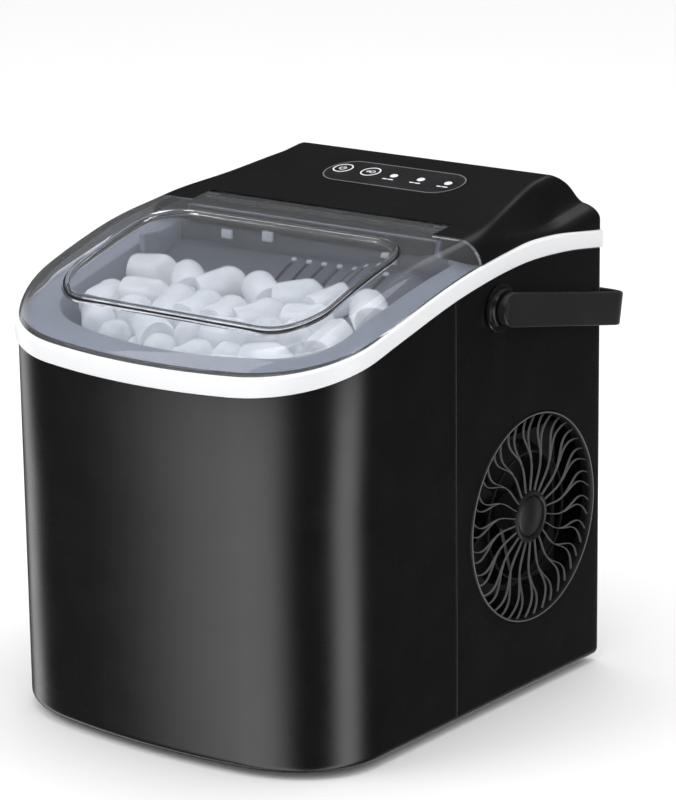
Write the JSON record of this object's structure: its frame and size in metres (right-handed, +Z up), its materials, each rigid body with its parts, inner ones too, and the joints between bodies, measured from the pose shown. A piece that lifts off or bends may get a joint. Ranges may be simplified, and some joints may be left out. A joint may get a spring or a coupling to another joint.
{
  "type": "ice maker",
  "caption": "Countertop bullet ice maker: bowed black casing, white trim band, clear hinged lid over an ice basket, round side grille and fold-down carry handle.",
  "frame": {"origin": "middle of the box's underside, on the surface the feet stand on", "axes": "+X to the object's right, -Y its front with the lid, +Z up"},
  "size_m": [0.242, 0.2694, 0.2697],
  "materials": {
    "black_abs": "smooth satin-gloss moulded black",
    "dark_plastic": "matte moulded",
    "white_trim": "smooth white",
    "clear_lid": "clear polished plastic",
    "grey_tub": "fine satin",
    "steel": "zinc-plated",
    "copper": "drawn copper tube",
    "aluminium_fins": "thin fins",
    "rubber": "matte",
    "circuit_board": "solder mask",
    "pump_white": "moulded",
    "foam": "closed-cell foam",
    "lens": "diffusing lens"
  },
  "bodies": {
    "casing": {"base_plate": "dark_plastic", "capillary_tube": "copper", "compressor": "dark_plastic", "compressor_bracket": "steel", "condenser": "aluminium_fins", "control_board": "circuit_board", "control_panel": "dark_plastic", "cord_gland": "rubber", "discharge_tube": "copper", "drain_hose": "clear_lid", "evaporator": "copper", "evaporator_hood": "grey_tub", "fan_motor": "steel", "fan_shroud": "dark_plastic", "filter_drier": "copper", "foot_front_left": "rubber", "foot_front_right": "rubber", "foot_rear_left": "rubber", "foot_rear_right": "rubber", "front_shell": "black_abs", "grille_hub_cap": "dark_plastic", "handle_boss_left": "black_abs", "handle_boss_right": "black_abs", "hot_gas_valve": "dark_plastic", "ice_full_lens": "lens", "ice_sensor_left": "dark_plastic", "ice_sensor_right": "dark_plastic", "ice_tub": "grey_tub", "lid_hinge_pin_left": "steel", "lid_hinge_pin_right": "steel", "main_board": "circuit_board", "pump_hose": "clear_lid", "rear_shell": "black_abs", "side_grille": "dark_plastic", "size_lens": "lens", "suction_tube": "copper", "top_cover": "black_abs", "tray_bearing": "pump_white", "tray_motor": "dark_plastic", "trim_band": "white_trim", "tub_insulation": "foam", "water_lens": "lens", "water_pump": "pump_white"},
    "lid": {"lid_shell": "clear_lid", "lid_window": "clear_lid", "window_seal": "rubber"},
    "handle": {"carry_handle": "black_abs"},
    "power_key": {"power_button": "black_abs"},
    "select_key": {"select_button": "black_abs"},
    "tray": {"water_tray": "grey_tub"},
    "shovel": {"ice_shovel": "grey_tub"},
    "basket": {"ice_basket": "grey_tub"},
    "fan": {"fan_blade": "pump_white"},
    "plug": {"drain_plug": "rubber"}
  },
  "joints": [
    {"name": "lid_hinge", "type": "hinge", "parent": "casing", "child": "lid", "pos_m": [0, 0.02461, 0.25321], "axis": [-1, 0, 0], "range_deg": [0, 78]},
    {"name": "handle_hinge", "type": "hinge", "parent": "casing", "child": "handle", "pos_m": [0, 0.02581, 0.2175], "axis": [1, 0, 0], "range_deg": [0, 100.7]},
    {"name": "power_press", "type": "slide", "parent": "casing", "child": "power_key", "axis": [0, 0.1727, -0.985], "range_m": [0, 0.001], "stiffness_N_per_m": 400},
    {"name": "select_press", "type": "slide", "parent": "casing", "child": "select_key", "axis": [0, 0.1727, -0.985], "range_m": [0, 0.001], "stiffness_N_per_m": 400},
    {"name": "tray_tilt", "type": "hinge", "parent": "casing", "child": "tray", "pos_m": [0, -0.01519, 0.179], "axis": [1, 0, 0], "range_deg": [0, 55]},
    {"name": "shovel_swing", "type": "hinge", "parent": "casing", "child": "shovel", "pos_m": [0, -0.04369, 0.193], "axis": [1, 0, 0], "range_deg": [0, 50]},
    {"name": "basket_lift", "type": "slide", "parent": "casing", "child": "basket", "axis": [0, 0, 1], "range_m": [0, 0.012]},
    {"name": "fan_spin", "type": "hinge", "parent": "casing", "child": "fan", "pos_m": [0.086, 0.05711, 0.098], "axis": [1, 0, 0], "continuous": true},
    {"name": "drain_pull", "type": "slide", "parent": "casing", "child": "plug", "axis": [-1, 0, 0], "range_m": [0, 0.014]}
  ],
  "couplings": [
    {"joint": "shovel_swing", "follows": "tray_tilt", "ratio": 0.9}
  ]
}
